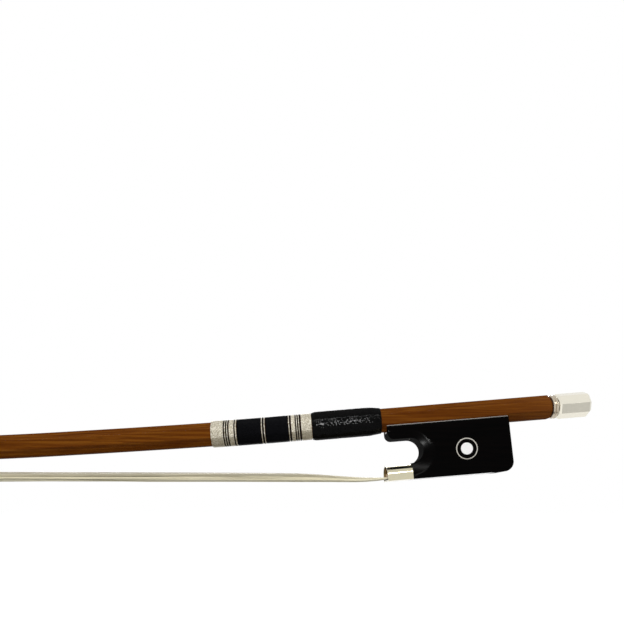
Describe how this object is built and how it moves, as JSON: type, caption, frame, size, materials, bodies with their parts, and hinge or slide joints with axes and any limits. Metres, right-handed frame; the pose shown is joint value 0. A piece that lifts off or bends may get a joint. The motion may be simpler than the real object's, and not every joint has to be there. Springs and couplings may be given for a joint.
{
  "type": "cello bow",
  "caption": "Cello bow with an octagonal cambered stick, a modelled head, a hair ribbon, and a frog driven by a screw and button.",
  "frame": {"origin": "on the stick's axis at the middle of the thumb leather, where the hand holds the bow", "axes": "+X along the hair ribbon from the head to the button, +Y across the bow, +Z from the hair up to the stick"},
  "size_m": [0.713, 0.0136, 0.0387],
  "materials": {
    "button_silver": "bright silver",
    "collar_metal": "nickel silver ring",
    "core_ebony": "ebony core, hidden",
    "pearl": "mother-of-pearl",
    "nickel": "nickel silver",
    "brass": "brass",
    "ferrule_nickel": "polished nickel silver",
    "ebony": "polished ebony",
    "hair_knot": "bound and burnt hair end",
    "plug_wood": "plain soft wood, hidden",
    "hair": "unbleached pale horsehair",
    "black_liner": "black liner under the face plate",
    "face_plate": "white face plate",
    "steel": "steel screw",
    "wood": "red-brown varnished hardwood, fine lengthwise grain",
    "leather": "black pebbled leather",
    "thread_silver": "silver-white winding thread",
    "thread_black": "black winding thread"
  },
  "bodies": {
    "stick": {"hair_ribbon": "hair", "head_knot": "hair_knot", "head_liner": "black_liner", "head_plate": "face_plate", "head_plug": "plug_wood", "stick": "wood", "thumb_leather": "leather", "winding_1_silver": "thread_silver", "winding_2_black": "thread_black", "winding_3_silver": "thread_silver", "winding_4_black": "thread_black", "winding_5_silver": "thread_silver", "winding_6_black": "thread_black", "winding_7_silver": "thread_silver", "winding_8_black": "thread_black", "winding_9_silver": "thread_silver"},
    "frog": {"frog": "ebony", "frog_liner": "nickel", "liner_pin_1": "nickel", "liner_pin_2": "nickel", "ferrule": "ferrule_nickel", "spread_wedge": "plug_wood", "slide": "ebony", "pearl_slide": "pearl", "frog_plug": "plug_wood", "frog_knot": "hair_knot", "eyelet": "brass", "eye_ring_left": "nickel", "eye_ring_right": "nickel", "eye_pearl_left": "pearl", "eye_pearl_right": "pearl"},
    "screw": {"screw": "steel", "button_core": "core_ebony", "button_collar": "collar_metal", "button_barrel": "button_silver"}
  },
  "joints": [
    {"name": "screw_turn", "type": "hinge", "parent": "stick", "child": "screw", "pos_m": [0.08611, 0, 0.00708], "axis": [-0.9966, 0, -0.0819], "range_deg": [-514.29, 2571.43]},
    {"name": "frog_slide", "type": "slide", "parent": "stick", "child": "frog", "axis": [0.9966, 0, 0.0819], "range_m": [-0.001, 0.005], "deforming": ["hair_ribbon"]}
  ],
  "couplings": [
    {"joint": "screw_turn", "follows": "frog_slide", "rad_per_m": 8976}
  ]
}
